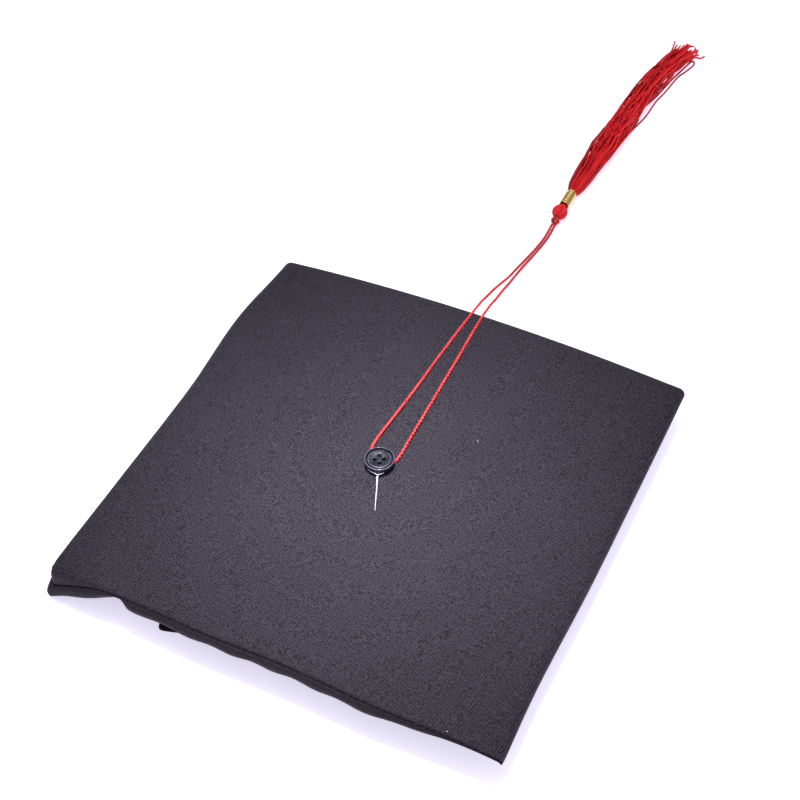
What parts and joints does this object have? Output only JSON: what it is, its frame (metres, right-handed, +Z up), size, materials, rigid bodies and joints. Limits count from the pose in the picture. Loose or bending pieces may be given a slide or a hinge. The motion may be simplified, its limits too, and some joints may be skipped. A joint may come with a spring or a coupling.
{
  "type": "graduation cap",
  "caption": "Black square mortarboard cap lying flat on its collapsed soft skull cap, with a glued four-hole button and a red corded tassel with a bead and gold coil.",
  "frame": {"origin": "on the surface that the cap lies on, below the middle of the square board, which is below the button", "axes": "+Z up, square to the board; +Y towards the board's rear edge, which the tassel crosses; +X towards the board's right edge"},
  "size_m": [0.24, 0.56, 0.0344],
  "materials": {
    "cap_fabric": "matt",
    "lining_fabric": "satin",
    "wadding": "matt",
    "card": "matt",
    "sewing_thread": "satin",
    "elastic": "matt",
    "button_plastic": "gloss",
    "hot_glue": "gloss",
    "red_cord": "satin",
    "red_thread": "satin",
    "bead_wood": "matt",
    "gold_wire": "gloss"
  },
  "bodies": {
    "root": {"headband": "cap_fabric", "sweatband": "lining_fabric", "front_point": "cap_fabric", "rear_elastic": "elastic", "elastic_casing": "cap_fabric", "crown_panel_left": "cap_fabric", "crown_panel_right": "cap_fabric", "crown_lining": "lining_fabric"},
    "board": {"board_insert": "card", "top_padding": "wadding", "top_cover": "cap_fabric", "bottom_cover": "cap_fabric", "front_stitches": "sewing_thread", "crown_top": "cap_fabric", "crown_top_lining": "lining_fabric", "button": "button_plastic", "glue_pad": "hot_glue", "glue_strand": "hot_glue"},
    "tassel_loop": {"cord_loop": "red_cord"},
    "tassel_drop": {"cord_run_left": "red_cord", "cord_run_right": "red_cord", "tassel_knot": "red_cord", "bead_core": "bead_wood", "bead_wrap": "red_thread", "gold_coil": "gold_wire", "tassel_skirt": "red_thread"}
  },
  "joints": [
    {"name": "crown_height", "type": "slide", "parent": "root", "child": "board", "axis": [0, 0, 1], "range_m": [0, 0.06], "deforming": ["crown_panel_left", "crown_panel_right", "crown_lining"]},
    {"name": "tassel_swing", "type": "hinge", "parent": "board", "child": "tassel_loop", "pos_m": [0, 0, 0.0305], "axis": [0, 0, 1], "range_deg": [-15, 15]},
    {"name": "tassel_droop", "type": "hinge", "parent": "tassel_loop", "child": "tassel_drop", "pos_m": [0.0012, 0.128, 0.0288], "axis": [1, 0, 0], "range_deg": [-11, 0]}
  ],
  "couplings": [
    {"joint": "tassel_droop", "follows": "crown_height", "rad_per_m": -3.1998}
  ]
}
